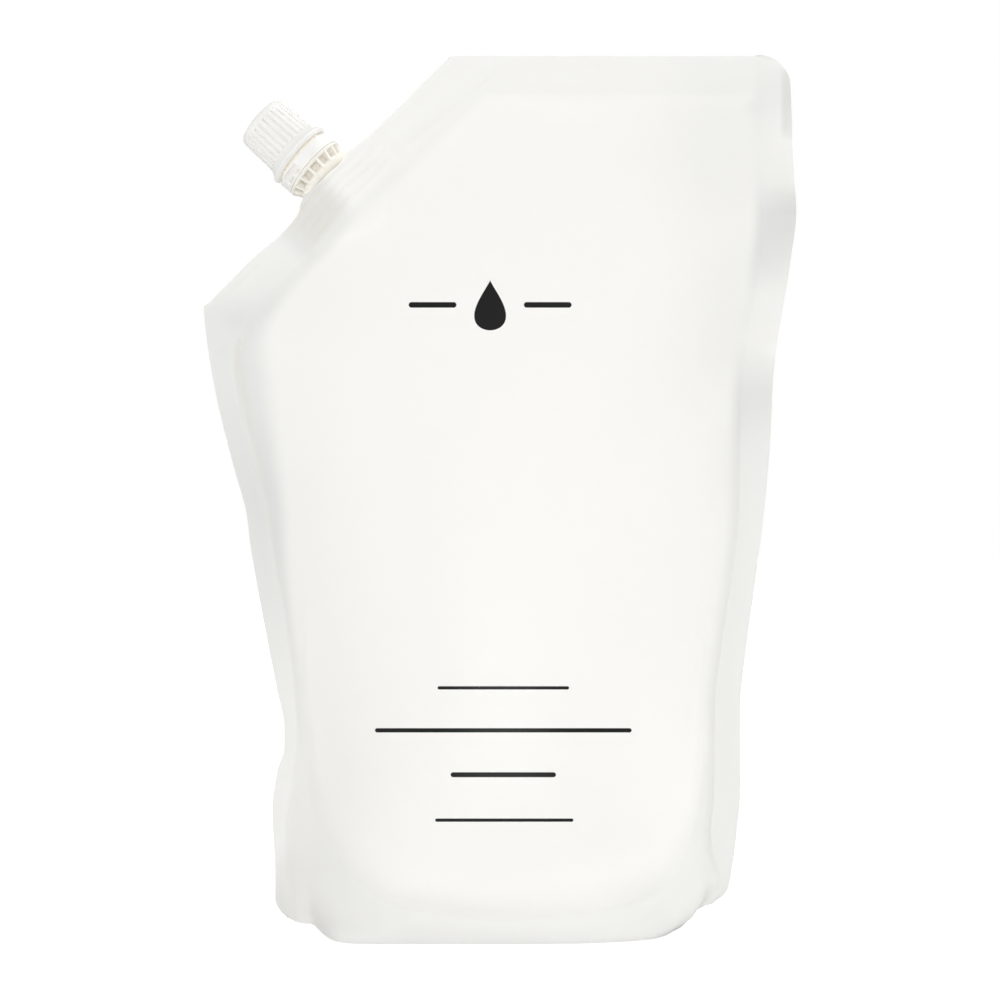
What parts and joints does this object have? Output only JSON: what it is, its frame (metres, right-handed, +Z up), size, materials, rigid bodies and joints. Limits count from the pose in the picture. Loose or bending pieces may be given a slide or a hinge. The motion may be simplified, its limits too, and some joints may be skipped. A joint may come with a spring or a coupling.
{
  "type": "hand soap refill pack",
  "caption": "Filled stand-up film pouch with a folded base, one cut corner, and a welded pouring spout closed by a ribbed screw cap over a tamper ring.",
  "frame": {"origin": "middle of the bounding box in plan, on the surface that the base stands on", "axes": "+Z up, along the pack's height; -Y is the front; +X runs to the right seen from the front, so the spout is on the -X side"},
  "size_m": [0.18, 0.0768, 0.26],
  "materials": {
    "film": "satin white laminate film, slightly warm, with cooler heat-sealed edges",
    "spout_plastic": "natural white moulded polyethylene, slightly cream in its recesses",
    "cap_plastic": "white moulded polyethylene, semi-gloss"
  },
  "bodies": {
    "root": {"pouch": "film", "spout": "spout_plastic"},
    "ring": {"tamper_ring": "cap_plastic"},
    "cap": {"cap": "cap_plastic"}
  },
  "joints": [
    {"name": "cap_turn", "type": "hinge", "parent": "root", "child": "ring", "pos_m": [-0.05267, 0, 0.22267], "axis": [-0.749, 0, 0.6626], "range_deg": [0, 540]},
    {"name": "cap_lift", "type": "slide", "parent": "ring", "child": "cap", "axis": [-0.749, 0, 0.6626], "range_m": [0, 0.0045]}
  ],
  "couplings": [
    {"joint": "cap_lift", "follows": "cap_turn", "m_per_rad": 0.00047746}
  ]
}
